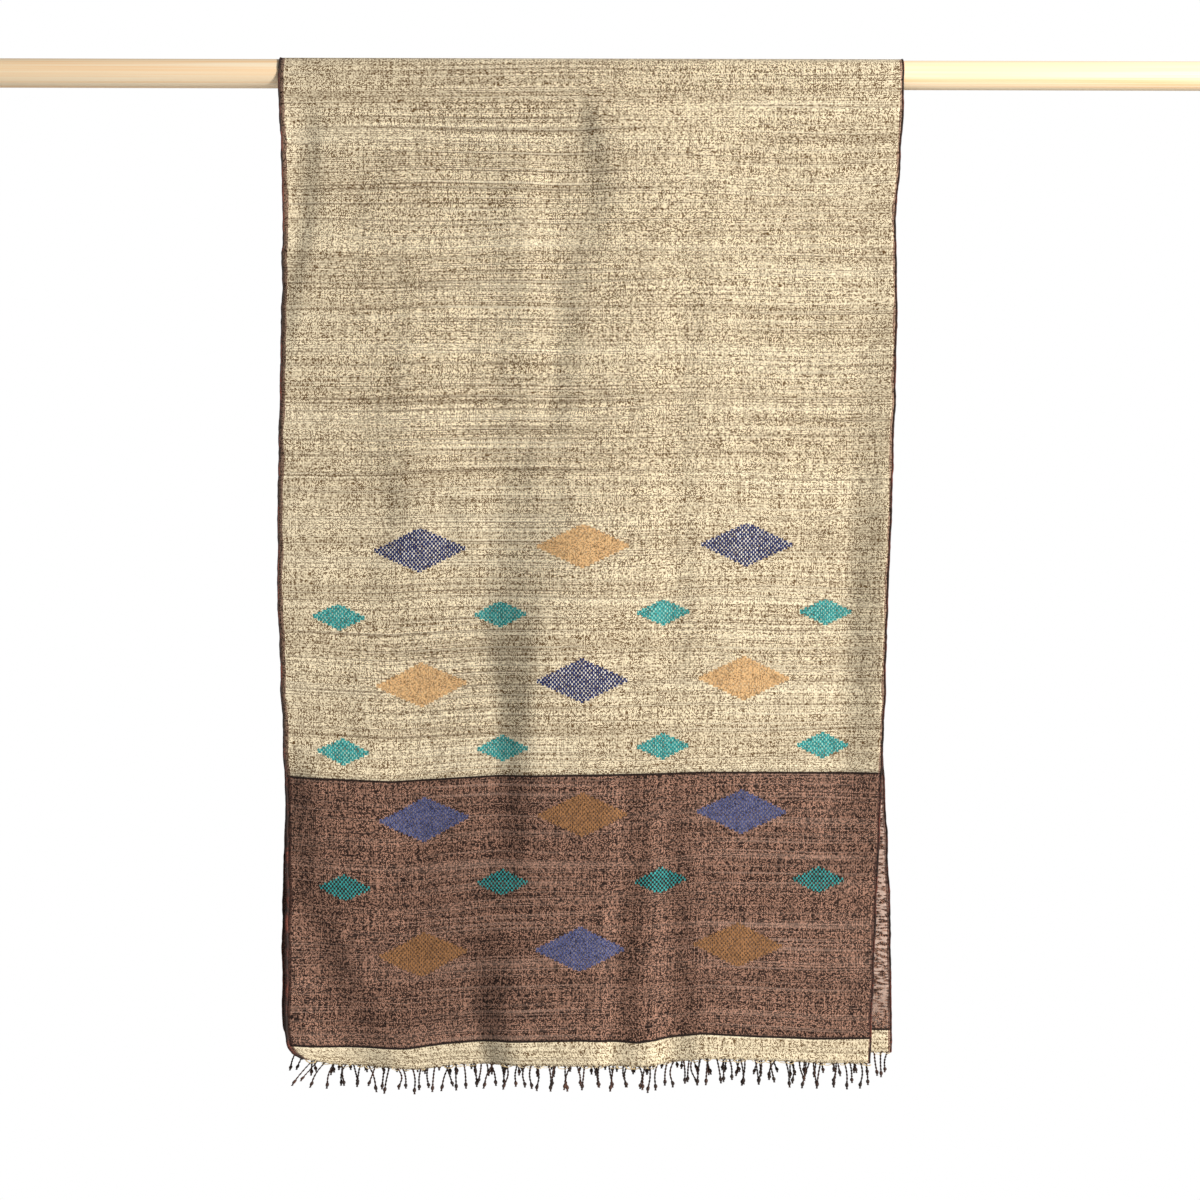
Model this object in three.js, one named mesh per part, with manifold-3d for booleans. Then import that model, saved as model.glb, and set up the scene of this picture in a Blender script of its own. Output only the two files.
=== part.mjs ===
// A handwoven silk stole, hung in half over a plain round wood rod.
//
// Millimetres. +X runs along the rod to the right of someone who faces the front layer, +Y runs away
// from them and +Z is up. The origin is the middle of the rod, on its axis. "down" is the distance
// below that axis, "across" is X, and a layer's relief is how far it stands off the hanging plane,
// away from the other layer.

import * as THREE from "three";
import { mergeVertices } from "three/addons/utils/BufferGeometryUtils.js";
import Module from "manifold-3d";

// ---- driving sizes ----

const ROD_DIAMETER = 26;
const ROD_LENGTH = 1200;
const ROD_SIDES = 32;

const CLOTH_WIDTH = 561; // selvedge to selvedge, where it lies over the rod
const WALL = 1.2; // the cloth's thickness
const SEAM = 0.3; // between the stretches of the cloth, and between the cloth and the rod
const LEG = 18; // how far the stretch over the rod comes down on each side of the axis
const RELIEF_STARTS = 70; // folds reach their full depth this far down

const STRIP_HEIGHT = 2.4; // the last rows of weft, which hold the fringe
const STRIP_WALL = 2.6; // thicker than the cloth by the knots that lie against it
const STRANDS = 76; // twisted pairs of warp ends on each fringe
const STRAND_DIAMETER = 1.8;
const STRAND_LENGTH = 21;
const STRAND_STEPS = 3;
const STRAND_SIDES = 3;
const STRAND_ROOT = 1.2; // how far a strand reaches up into its strip

const HANGING = ROD_DIAMETER / 2 + SEAM + WALL / 2; // from the axis to the middle of a layer's wall

const FRONT_COLUMNS = 48;
const BACK_COLUMNS = 26;
const OVER_COLUMNS = 8;
const OVER_ARC_ROWS = 12;

// ---- the front layer ----

const FRONT = {
  side: -1,
  // Left and right selvedges, going down the cloth.
  edges: [
    { down: 0, left: -CLOTH_WIDTH / 2, right: CLOTH_WIDTH / 2 },
    { down: LEG, left: -CLOTH_WIDTH / 2, right: CLOTH_WIDTH / 2 },
    { down: 61, left: -278.5, right: 278.5 },
    { down: 133, left: -276.5, right: 273 },
    { down: 205, left: -277.5, right: 274.5 },
    { down: 295, left: -278.5, right: 272.5 },
    { down: 385, left: -280, right: 269 },
    { down: 475, left: -280, right: 265 },
    { down: 565, left: -276, right: 263 },
    { down: 655, left: -272, right: 260 },
    { down: 760, left: -271.5, right: 256.5 },
    { down: 865, left: -271.5, right: 252.5 },
    { down: 876, left: -269.5, right: 252 },
    { down: 882, left: -265, right: 252 },
    { down: 889, left: -254, right: 252 },
  ],
  // Weft lines where the colour changes, each from selvedge to selvedge: share of the width, down.
  lines: {
    top: [{ share: 0, down: LEG }],
    band: [
      { share: 0, down: 633.5 },
      { share: 0.18, down: 638 },
      { share: 0.36, down: 632 },
      { share: 0.6, down: 630 },
      { share: 0.7, down: 628 },
      { share: 1, down: 628.5 },
    ],
    heading: [
      { share: 0, down: 876 },
      { share: 0.05, down: 878 },
      { share: 0.2, down: 879 },
      { share: 0.27, down: 874 },
      { share: 0.36, down: 870 },
      { share: 0.5, down: 868.5 },
      { share: 0.6, down: 870.5 },
      { share: 0.71, down: 862.5 },
      { share: 0.8, down: 865.5 },
      { share: 0.9, down: 868 },
      { share: 1, down: 868 },
    ],
    hem: [
      { share: 0, down: 888 },
      { share: 0.05, down: 893.5 },
      { share: 0.2, down: 897 },
      { share: 0.27, down: 892 },
      { share: 0.36, down: 890.5 },
      { share: 0.5, down: 891 },
      { share: 0.6, down: 891.5 },
      { share: 0.71, down: 884.5 },
      { share: 0.8, down: 886 },
      { share: 0.9, down: 889 },
      { share: 1, down: 890 },
    ],
  },
  // Folds: a row says where one lies, how far it reaches to either side, and its height there, which is
  // below 0 for a trough.
  folds: [
    // the whole layer, which hangs a little forward of the rod
    [
      { down: 60, across: 0, left: 900, right: 900, height: 0 },
      { down: 892, across: 0, left: 900, right: 900, height: 3 },
    ],
    // the main ridge: from the rod down, then leftwards and deeper to the hem, steep on its left
    [
      { down: 18, across: 10, left: 22, right: 120, height: 6 },
      { down: 46, across: 12, left: 24, right: 130, height: 8 },
      { down: 90, across: 26, left: 34, right: 150, height: 8 },
      { down: 133, across: 28, left: 38, right: 170, height: 6 },
      { down: 190, across: 6, left: 38, right: 170, height: 5 },
      { down: 260, across: 2, left: 38, right: 170, height: 6 },
      { down: 325, across: -8, left: 42, right: 260, height: 7 },
      { down: 350, across: -14, left: 58, right: 330, height: 9 },
      { down: 390, across: -20, left: 72, right: 400, height: 14 },
      { down: 457, across: -30, left: 66, right: 400, height: 17 },
      { down: 510, across: -44, left: 60, right: 400, height: 18 },
      { down: 570, across: -46, left: 42, right: 400, height: 14 },
      { down: 646, across: -44, left: 42, right: 400, height: 12 },
      { down: 705, across: -44, left: 44, right: 400, height: 11 },
      { down: 758, across: -46, left: 80, right: 400, height: 10 },
      { down: 812, across: -58, left: 50, right: 400, height: 16 },
      { down: 850, across: -64, left: 42, right: 400, height: 17 },
      { down: 892, across: -57, left: 40, right: 400, height: 15 },
    ],
    // its rounded top, where it is deepest
    [
      { down: 350, across: 0, left: 40, right: 130, height: 0 },
      { down: 390, across: -2, left: 40, right: 130, height: 4 },
      { down: 457, across: -12, left: 40, right: 110, height: 4 },
      { down: 510, across: -30, left: 36, right: 80, height: 5 },
      { down: 560, across: -36, left: 30, right: 70, height: 3 },
      { down: 600, across: -36, left: 30, right: 70, height: 0 },
    ],
    // a low ridge beside it, left of the middle
    [
      { down: 60, across: -58, left: 36, right: 30, height: 0 },
      { down: 85, across: -60, left: 36, right: 30, height: 2.5 },
      { down: 140, across: -60, left: 36, right: 30, height: 3 },
      { down: 200, across: -58, left: 32, right: 28, height: 2.5 },
      { down: 325, across: -54, left: 34, right: 28, height: 3 },
      { down: 370, across: -54, left: 30, right: 26, height: 2.5 },
      { down: 410, across: -54, left: 30, right: 26, height: 0 },
    ],
    // two steps on the left, shallow
    [
      { down: 60, across: -170, left: 30, right: 60, height: 0 },
      { down: 79, across: -168, left: 30, right: 60, height: 2.5 },
      { down: 133, across: -182, left: 30, right: 60, height: 2 },
      { down: 190, across: -152, left: 30, right: 60, height: 1.5 },
      { down: 260, across: -155, left: 30, right: 60, height: 3 },
      { down: 325, across: -162, left: 34, right: 60, height: 2.5 },
      { down: 390, across: -154, left: 36, right: 70, height: 7 },
      { down: 457, across: -165, left: 34, right: 70, height: 3 },
      { down: 520, across: -142, left: 34, right: 60, height: 1.5 },
      { down: 560, across: -142, left: 34, right: 60, height: 0 },
    ],
    [
      { down: 350, across: -100, left: 34, right: 60, height: 0 },
      { down: 390, across: -100, left: 36, right: 60, height: 6 },
      { down: 440, across: -98, left: 34, right: 60, height: 2.5 },
      { down: 500, across: -96, left: 34, right: 60, height: 0 },
    ],
    // upper left, sharp
    [
      { down: 24, across: -258, left: 26, right: 18, height: -2 },
      { down: 60, across: -260, left: 26, right: 20, height: -4 },
      { down: 130, across: -263, left: 26, right: 20, height: -4 },
      { down: 180, across: -273, left: 26, right: 20, height: -4 },
      { down: 250, across: -285, left: 26, right: 20, height: -3 },
      { down: 300, across: -290, left: 26, right: 20, height: 0 },
    ],
    // right, faint
    [
      { down: 120, across: 80, left: 30, right: 24, height: 0 },
      { down: 200, across: 82, left: 30, right: 24, height: -1 },
      { down: 390, across: 74, left: 24, right: 22, height: -2 },
      { down: 520, across: 74, left: 22, right: 22, height: -2 },
      { down: 560, across: 74, left: 22, right: 22, height: 0 },
    ],
    // the right selvedge, which curls forward
    [
      { down: 60, across: 280, left: 40, right: 40, height: 0 },
      { down: 190, across: 280, left: 40, right: 40, height: 2 },
      { down: 250, across: 279, left: 40, right: 40, height: 5 },
      { down: 325, across: 277, left: 42, right: 40, height: 6 },
      { down: 390, across: 275, left: 44, right: 40, height: 11 },
      { down: 457, across: 273, left: 46, right: 40, height: 14 },
      { down: 510, across: 272, left: 46, right: 40, height: 14 },
      { down: 570, across: 271, left: 46, right: 40, height: 12 },
      { down: 646, across: 268, left: 44, right: 40, height: 8 },
      { down: 760, across: 266, left: 40, right: 40, height: 0 },
    ],
    // a bulge where the band begins, at the left selvedge
    [
      { down: 600, across: -243, left: 30, right: 110, height: 0 },
      { down: 646, across: -243, left: 30, right: 100, height: 8 },
      { down: 705, across: -243, left: 30, right: 90, height: 4 },
      { down: 760, across: -243, left: 30, right: 90, height: 0 },
    ],
    // on the band, left of the main ridge
    [
      { down: 620, across: -160, left: 40, right: 60, height: 0 },
      { down: 680, across: -160, left: 40, right: 60, height: -3 },
      { down: 800, across: -164, left: 40, right: 56, height: -3 },
      { down: 850, across: -166, left: 40, right: 56, height: 0 },
    ],
    // two narrow ones on the band, right of the main ridge
    [
      { down: 615, across: 31, left: 16, right: 22, height: 0 },
      { down: 645, across: 31, left: 16, right: 22, height: -4 },
      { down: 705, across: 35, left: 16, right: 24, height: -4 },
      { down: 745, across: 29, left: 16, right: 22, height: -5 },
      { down: 812, across: 25, left: 16, right: 22, height: -5 },
      { down: 892, across: 23, left: 16, right: 22, height: -4 },
    ],
    [
      { down: 615, across: 73, left: 18, right: 20, height: 0 },
      { down: 705, across: 70, left: 18, right: 22, height: -4 },
      { down: 812, across: 73, left: 18, right: 24, height: -5 },
      { down: 892, across: 72, left: 18, right: 26, height: -6 },
    ],
    // lower left, slanting
    [
      { down: 600, across: -276, left: 40, right: 30, height: 0 },
      { down: 705, across: -267, left: 40, right: 30, height: -4 },
      { down: 760, across: -261, left: 40, right: 34, height: -6 },
      { down: 812, across: -235, left: 40, right: 36, height: -7 },
      { down: 850, across: -225, left: 40, right: 44, height: -8 },
      { down: 892, across: -215, left: 40, right: 44, height: -7 },
    ],
  ],
  // How far the ends of the outermost strands lean away to the left, from the corner inwards.
  splay: [-16, -14, -10, -4],
};

// ---- the back layer ----

const BACK = {
  side: 1,
  edges: [
    { down: 0, left: -CLOTH_WIDTH / 2, right: CLOTH_WIDTH / 2 },
    { down: LEG, left: -CLOTH_WIDTH / 2, right: CLOTH_WIDTH / 2 },
    { down: 120, left: -278, right: 276 },
    { down: 300, left: -276, right: 268 },
    { down: 560, left: -275, right: 263 },
    { down: 660, left: -276, right: 269 },
    { down: 760, left: -279, right: 273.5 },
    { down: 865, left: -278.5, right: 275 },
    { down: 890, left: -268, right: 275 },
  ],
  lines: {
    top: [{ share: 0, down: LEG }],
    band: [
      { share: 0, down: 634 },
      { share: 0.5, down: 630 },
      { share: 1, down: 632 },
    ],
    heading: [
      { share: 0, down: 870 },
      { share: 0.4, down: 866 },
      { share: 1, down: 866 },
    ],
    hem: [
      { share: 0, down: 886 },
      { share: 0.4, down: 885 },
      { share: 1, down: 886.5 },
    ],
  },
  folds: [
    // the whole layer
    [
      { down: 60, across: 0, left: 900, right: 900, height: 0 },
      { down: 892, across: 0, left: 900, right: 900, height: 2 },
    ],
    // two broad swells
    [
      { down: 80, across: -150, left: 95, right: 95, height: 0 },
      { down: 420, across: -160, left: 95, right: 95, height: 6 },
      { down: 892, across: -172, left: 95, right: 95, height: 8 },
    ],
    [
      { down: 200, across: 96, left: 85, right: 85, height: 0 },
      { down: 560, across: 84, left: 85, right: 85, height: 6 },
      { down: 892, across: 70, left: 85, right: 85, height: 9 },
    ],
    // middle
    [
      { down: 40, across: -10, left: 52, right: 34, height: 0 },
      { down: 240, across: -18, left: 52, right: 36, height: -5 },
      { down: 520, across: -30, left: 52, right: 40, height: -6 },
      { down: 892, across: -52, left: 52, right: 40, height: -6 },
    ],
    // right
    [
      { down: 330, across: 190, left: 36, right: 26, height: 0 },
      { down: 600, across: 182, left: 36, right: 28, height: -5 },
      { down: 892, across: 168, left: 36, right: 30, height: -6 },
    ],
    // left
    [
      { down: 520, across: -246, left: 34, right: 22, height: 0 },
      { down: 720, across: -238, left: 34, right: 24, height: -4 },
      { down: 892, across: -230, left: 34, right: 24, height: -5 },
    ],
  ],
  splay: [-8, -5],
};

// ---- reading the tables ----

/** The value in a column of a table at a place between its rows, held level past both ends. */
function readTable(rows, by, at, column) {
  if (at <= rows[0][by]) return rows[0][column];
  const next = rows.findIndex((row) => row[by] >= at);
  if (next < 0) return rows[rows.length - 1][column];
  const [low, high] = [rows[next - 1], rows[next]];
  return THREE.MathUtils.mapLinear(at, low[by], high[by], low[column], high[column]);
}

/** A smooth hump that is 1 at 0 and 0 from 1 on, with no slope at either. */
function hump(distance) {
  return distance >= 1 ? 0 : (1 - distance ** 2) ** 2;
}

/** How far a layer stands off its hanging plane, away from the other layer. */
function relief(layer, across, down) {
  let height = 0;
  for (const rows of layer.folds) {
    const past = across - readTable(rows, "down", down, "across");
    const reach = readTable(rows, "down", down, past > 0 ? "right" : "left");
    height += readTable(rows, "down", down, "height") * hump(Math.abs(past) / reach);
  }
  return height * THREE.MathUtils.smoothstep(down, LEG, RELIEF_STARTS);
}

// ---- the cloth ----

/** A point in the middle of a hanging layer's wall. */
function hangingPoint(layer, share, down) {
  const left = readTable(layer.edges, "down", down, "left");
  const right = readTable(layer.edges, "down", down, "right");
  const across = THREE.MathUtils.lerp(left, right, share);
  return new THREE.Vector3(across, layer.side * (HANGING + relief(layer, across, down)), -down);
}

/** The stretch of a layer between two of its weft lines, as a function of its two shares. */
function hangingStretch(layer, upper, lower, clear = { above: SEAM / 2, below: SEAM / 2 }) {
  return (share, fall) => {
    const top = readTable(layer.lines[upper], "share", share, "down") + clear.above;
    const bottom = readTable(layer.lines[lower], "share", share, "down") - clear.below;
    return hangingPoint(layer, share, THREE.MathUtils.lerp(top, bottom, fall));
  };
}

/** The stretch over the rod, from the end of its back leg (0), over the top, to its front leg's (1). */
function overRod(share, fall) {
  const across = (share - 0.5) * CLOTH_WIDTH;
  const row = fall * (OVER_ARC_ROWS + 2) - 1; // the arc's rows lie between the two legs' single ones
  const angle = THREE.MathUtils.clamp(row / OVER_ARC_ROWS, 0, 1) * Math.PI;
  const pastArc = Math.max(-row, row - OVER_ARC_ROWS, 0);
  const drop = pastArc * (LEG - SEAM / 2);
  return new THREE.Vector3(across, HANGING * Math.cos(angle), HANGING * Math.sin(angle) - drop);
}

/** A closed wall around a surface: a box of many faces, bent onto it. */
function clothWall(surface, columns, rows, thickness = WALL) {
  const box = new THREE.BoxGeometry(1, 1, 1, columns, rows, 1);
  const corners = box.attributes.position;
  const step = 1e-3;
  for (let i = 0; i < corners.count; i++) {
    const share = corners.getX(i) + 0.5;
    const fall = 0.5 - corners.getY(i);
    const toRight = surface(Math.min(share + step, 1), fall).sub(surface(Math.max(share - step, 0), fall));
    const upward = surface(share, Math.max(fall - step, 0)).sub(surface(share, Math.min(fall + step, 1)));
    const outward = toRight.cross(upward).normalize();
    const point = surface(share, fall).addScaledVector(outward, corners.getZ(i) * thickness);
    corners.setXYZ(i, point.x, point.y, point.z);
  }
  return closedGeometry(box);
}

// ---- the fringe ----

/** A strand's middle line: down from its strip, with a lean and a slight wave of its own. */
function strandPath(layer, index) {
  const share = (index + 0.5) / STRANDS;
  const hem = readTable(layer.lines.hem, "share", share, "down");
  const root = hangingPoint(layer, share, hem);
  const splay = layer.splay[index] ?? 0;
  const lean = 1.5 * Math.sin(index * 2.4) + splay;
  const tilt = 1.5 * Math.cos(index * 1.7);
  const length = STRAND_LENGTH + 1.8 * Math.sin(index * 3.9) - Math.abs(splay) / 4;
  const at = (part, bow) =>
    new THREE.Vector3(root.x + lean * part + bow, root.y + tilt * part, root.z - length * part);
  const start = root.clone().setZ(root.z + STRAND_ROOT);
  const bow = 0.5 * Math.cos(index * 2.9);
  return new THREE.CatmullRomCurve3([start, at(0.15, 0), at(0.55, bow), at(1, 0)]);
}

/** A regular outline of a few sides, to draw a strand with. */
function strandSection() {
  const corner = (i) => (i * 2 * Math.PI) / STRAND_SIDES;
  const points = Array.from({ length: STRAND_SIDES }, (_, i) =>
    new THREE.Vector2(Math.cos(corner(i)), Math.sin(corner(i))).multiplyScalar(STRAND_DIAMETER / 2),
  );
  return new THREE.Shape(points);
}

/** One end's fringe: a narrow strip of the last weft, with every strand fused into it. */
function fringe(layer, columns) {
  const lastWeft = { above: -STRIP_HEIGHT, below: 0 };
  const strip = clothWall(hangingStretch(layer, "hem", "hem", lastWeft), columns, 1, STRIP_WALL);
  const section = strandSection();
  const strands = Array.from({ length: STRANDS }, (_, index) => {
    const along = { steps: STRAND_STEPS, extrudePath: strandPath(layer, index) };
    return closedGeometry(new THREE.ExtrudeGeometry(section, along));
  });
  return joined([strip, ...strands]);
}

// ---- closed meshes ----

const wasm = await Module();
wasm.setup();

/** The geometry with its shared corners merged, so that its faces close. */
function closedGeometry(geometry) {
  const bare = new THREE.BufferGeometry();
  bare.setAttribute("position", geometry.attributes.position);
  if (geometry.index) bare.setIndex(geometry.index);
  return mergeVertices(bare, 1e-4);
}

/** One geometry from closed ones that reach into each other. */
function joined(geometries) {
  const solids = geometries.map((geometry) => {
    const vertProperties = new Float32Array(geometry.attributes.position.array);
    const triVerts = new Uint32Array(geometry.index.array);
    return new wasm.Manifold(new wasm.Mesh({ numProp: 3, vertProperties, triVerts }));
  });
  const mesh = wasm.Manifold.union(solids).getMesh();
  const geometry = new THREE.BufferGeometry();
  geometry.setAttribute("position", new THREE.BufferAttribute(mesh.vertProperties, 3));
  geometry.setIndex(new THREE.BufferAttribute(mesh.triVerts, 1));
  return geometry;
}

// ---- materials ----

const naturalSilk = new THREE.MeshStandardMaterial({ color: 0xcdbb98, roughness: 0.75, metalness: 0 });
const brownSilk = new THREE.MeshStandardMaterial({ color: 0x755849, roughness: 0.75, metalness: 0 });
const headingSilk = new THREE.MeshStandardMaterial({ color: 0xc8b598, roughness: 0.75, metalness: 0 });
const darkThread = new THREE.MeshStandardMaterial({ color: 0x3c2a24, roughness: 0.85, metalness: 0 });
const paleWood = new THREE.MeshStandardMaterial({ color: 0xf0d3aa, roughness: 0.55, metalness: 0 });

// ---- the object ----

const object = new THREE.Group();

/** Adds a sub-part under its name. */
function add(name, geometry, material) {
  geometry.computeVertexNormals();
  const mesh = new THREE.Mesh(geometry, material);
  mesh.name = name;
  object.add(mesh);
  return mesh;
}

const rod = new THREE.CylinderGeometry(ROD_DIAMETER / 2, ROD_DIAMETER / 2, ROD_LENGTH, ROD_SIDES);
add("rod", closedGeometry(rod), paleWood).rotation.z = Math.PI / 2;

add("cloth_over_rod", clothWall(overRod, OVER_COLUMNS, OVER_ARC_ROWS + 2), naturalSilk);

const layers = [
  { end: "front", layer: FRONT, columns: FRONT_COLUMNS, fieldRows: 14, bandRows: 6 },
  { end: "back", layer: BACK, columns: BACK_COLUMNS, fieldRows: 10, bandRows: 4 },
];
const stripClear = { above: SEAM / 2, below: STRIP_HEIGHT + SEAM };
for (const { end, layer, columns, fieldRows, bandRows } of layers) {
  const field = hangingStretch(layer, "top", "band");
  const band = hangingStretch(layer, "band", "heading");
  const heading = hangingStretch(layer, "heading", "hem", stripClear);
  add(`${end}_field`, clothWall(field, columns, fieldRows), naturalSilk);
  add(`${end}_band`, clothWall(band, columns, bandRows), brownSilk);
  add(`${end}_heading`, clothWall(heading, columns, 1), headingSilk);
  add(`${end}_fringe`, fringe(layer, columns), darkThread);
}

export default object;
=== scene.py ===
"""The looks of a handwoven silk stole, hung in half over a plain wood rod.

Everything is in metres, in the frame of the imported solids: +X along the rod, +Y away from someone who
faces the front layer, +Z up, and the origin in the middle of the rod. The drape tables are in
millimetres, which is how a weaver would measure the cloth.
"""

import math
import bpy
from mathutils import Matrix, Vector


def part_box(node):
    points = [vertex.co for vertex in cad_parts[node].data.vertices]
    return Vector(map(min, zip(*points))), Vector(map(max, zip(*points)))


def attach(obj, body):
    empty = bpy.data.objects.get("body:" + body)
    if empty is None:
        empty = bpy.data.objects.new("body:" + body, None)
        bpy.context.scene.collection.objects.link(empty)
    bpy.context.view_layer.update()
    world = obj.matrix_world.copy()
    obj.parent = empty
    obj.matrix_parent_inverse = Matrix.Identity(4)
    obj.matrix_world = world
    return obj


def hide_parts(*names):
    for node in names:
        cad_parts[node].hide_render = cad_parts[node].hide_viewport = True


bl_info = {
    "name": "Silk stole on a rod",
    "version": (1, 0, 0),
    "blender": (4, 5, 0),
    "location": "3D View > Sidebar > Stole",
    "description": "Builds a handwoven silk stole over its rod, piece by piece",
    "category": "Add Mesh",
}

from functools import partial
from random import Random

import bmesh
import bpy
import numpy as np
from bpy.props import FloatProperty, FloatVectorProperty, IntProperty, PointerProperty
from mathutils import Matrix, Vector, noise

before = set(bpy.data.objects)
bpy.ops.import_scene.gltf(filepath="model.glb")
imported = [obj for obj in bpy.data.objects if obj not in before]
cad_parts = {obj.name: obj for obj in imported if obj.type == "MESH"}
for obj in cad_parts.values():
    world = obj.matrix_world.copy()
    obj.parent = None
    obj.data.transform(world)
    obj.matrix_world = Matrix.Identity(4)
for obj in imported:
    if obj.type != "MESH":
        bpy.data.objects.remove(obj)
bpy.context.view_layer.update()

MM = 0.001


def hex_linear(code):
    """A hex colour, as a screen shows it, in the linear numbers that shaders use."""
    shares = [int(code[i : i + 2], 16) / 255 for i in (1, 3, 5)]
    return [s / 12.92 if s <= 0.04045 else ((s + 0.055) / 1.055) ** 2.4 for s in shares]


# ---- sizes that come from the solids ----

ROD_LOW, ROD_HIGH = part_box("rod")
OVER_LOW, OVER_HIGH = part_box("cloth_over_rod")
ROD_RADIUS = (ROD_HIGH.z - ROD_LOW.z) / 2
WALL = 1.2 * MM  # the solids' cloth, whose middle this cloth follows
HANGING = OVER_HIGH.z - WALL / 2  # from the rod's axis to the middle of the cloth
WIDTH = OVER_HIGH.x - OVER_LOW.x

# ---- the drape, in millimetres: down from the rod's axis, across from its middle ----

FRONT = {
    "side": -1,
    # rows of down, and where the left and the right edge lie across
    "edges": (
        (0, -280.5, 280.5),
        (18, -280.5, 280.5),
        (61, -278.5, 278.5),
        (133, -276.5, 273),
        (205, -277.5, 274.5),
        (295, -278.5, 272.5),
        (385, -280, 269),
        (475, -280, 265),
        (565, -276, 263),
        (655, -272, 260),
        (760, -271.5, 256.5),
        (865, -271.5, 252.5),
        (876, -269.5, 252),
        (882, -265, 252),
        (889, -254, 252),
    ),
    # where the weft changes: shares of the width, and how far down each lies
    "lines": {
        "band": ((0, 0.18, 0.36, 0.6, 0.7, 1), (633.5, 638, 632, 630, 628, 628.5)),
        "heading": (
            (0, 0.05, 0.2, 0.27, 0.36, 0.5, 0.6, 0.71, 0.8, 0.9, 1),
            (876, 878, 879, 874, 870, 868.5, 870.5, 862.5, 865.5, 868, 868),
        ),
        "hem": (
            (0, 0.05, 0.2, 0.27, 0.36, 0.5, 0.6, 0.71, 0.8, 0.9, 1),
            (888, 893.5, 897, 892, 890.5, 891, 891.5, 884.5, 886, 889, 890),
        ),
    },
    # Folds: rows of down, across, reach to the left and to the right, and height. Below 0 is a trough.
    "folds": (
        # the whole layer, which hangs a little forward of the rod
        (
            (60, 0, 900, 900, 0),
            (892, 0, 900, 900, 3),
        ),
        # the main ridge: from the rod down, then leftwards and deeper to the hem, steep on its left
        (
            (18, 10, 22, 120, 6),
            (46, 12, 24, 130, 8),
            (90, 26, 34, 150, 8),
            (133, 28, 38, 170, 6),
            (190, 6, 38, 170, 5),
            (260, 2, 38, 170, 6),
            (325, -8, 42, 260, 7),
            (350, -14, 58, 330, 9),
            (390, -20, 72, 400, 14),
            (457, -30, 66, 400, 17),
            (510, -44, 60, 400, 18),
            (570, -46, 42, 400, 14),
            (646, -44, 42, 400, 12),
            (705, -44, 44, 400, 11),
            (758, -46, 80, 400, 10),
            (812, -58, 50, 400, 16),
            (850, -64, 42, 400, 17),
            (892, -57, 40, 400, 15),
        ),
        # its rounded top, where it is deepest
        (
            (350, 0, 40, 130, 0),
            (390, -2, 40, 130, 4),
            (457, -12, 40, 110, 4),
            (510, -30, 36, 80, 5),
            (560, -36, 30, 70, 3),
            (600, -36, 30, 70, 0),
        ),
        # a low ridge beside it, left of the middle
        (
            (60, -58, 36, 30, 0),
            (85, -60, 36, 30, 2.5),
            (140, -60, 36, 30, 3),
            (200, -58, 32, 28, 2.5),
            (325, -54, 34, 28, 3),
            (370, -54, 30, 26, 2.5),
            (410, -54, 30, 26, 0),
        ),
        # two steps on the left, shallow
        (
            (60, -170, 30, 60, 0),
            (79, -168, 30, 60, 2.5),
            (133, -182, 30, 60, 2),
            (190, -152, 30, 60, 1.5),
            (260, -155, 30, 60, 3),
            (325, -162, 34, 60, 2.5),
            (390, -154, 36, 70, 7),
            (457, -165, 34, 70, 3),
            (520, -142, 34, 60, 1.5),
            (560, -142, 34, 60, 0),
        ),
        (
            (350, -100, 34, 60, 0),
            (390, -100, 36, 60, 6),
            (440, -98, 34, 60, 2.5),
            (500, -96, 34, 60, 0),
        ),
        # upper left, sharp
        (
            (24, -258, 26, 18, -2),
            (60, -260, 26, 20, -4),
            (130, -263, 26, 20, -4),
            (180, -273, 26, 20, -4),
            (250, -285, 26, 20, -3),
            (300, -290, 26, 20, 0),
        ),
        # right, faint
        (
            (120, 80, 30, 24, 0),
            (200, 82, 30, 24, -1),
            (390, 74, 24, 22, -2),
            (520, 74, 22, 22, -2),
            (560, 74, 22, 22, 0),
        ),
        # the right selvedge, which curls forward
        (
            (60, 280, 40, 40, 0),
            (190, 280, 40, 40, 2),
            (250, 279, 40, 40, 5),
            (325, 277, 42, 40, 6),
            (390, 275, 44, 40, 11),
            (457, 273, 46, 40, 14),
            (510, 272, 46, 40, 14),
            (570, 271, 46, 40, 12),
            (646, 268, 44, 40, 8),
            (760, 266, 40, 40, 0),
        ),
        # a bulge where the band begins, at the left selvedge
        (
            (600, -243, 30, 110, 0),
            (646, -243, 30, 100, 8),
            (705, -243, 30, 90, 4),
            (760, -243, 30, 90, 0),
        ),
        # on the band, left of the main ridge
        (
            (620, -160, 40, 60, 0),
            (680, -160, 40, 60, -3),
            (800, -164, 40, 56, -3),
            (850, -166, 40, 56, 0),
        ),
        # two narrow ones on the band, right of the main ridge
        (
            (615, 31, 16, 22, 0),
            (645, 31, 16, 22, -4),
            (705, 35, 16, 24, -4),
            (745, 29, 16, 22, -5),
            (812, 25, 16, 22, -5),
            (892, 23, 16, 22, -4),
        ),
        (
            (615, 73, 18, 20, 0),
            (705, 70, 18, 22, -4),
            (812, 73, 18, 24, -5),
            (892, 72, 18, 26, -6),
        ),
        # lower left, slanting
        (
            (600, -276, 40, 30, 0),
            (705, -267, 40, 30, -4),
            (760, -261, 40, 34, -6),
            (812, -235, 40, 36, -7),
            (850, -225, 40, 44, -8),
            (892, -215, 40, 44, -7),
        ),
    ),
    # how far the first strands are swept sideways
    "splay": (-16, -14, -10, -4),
}

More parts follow.
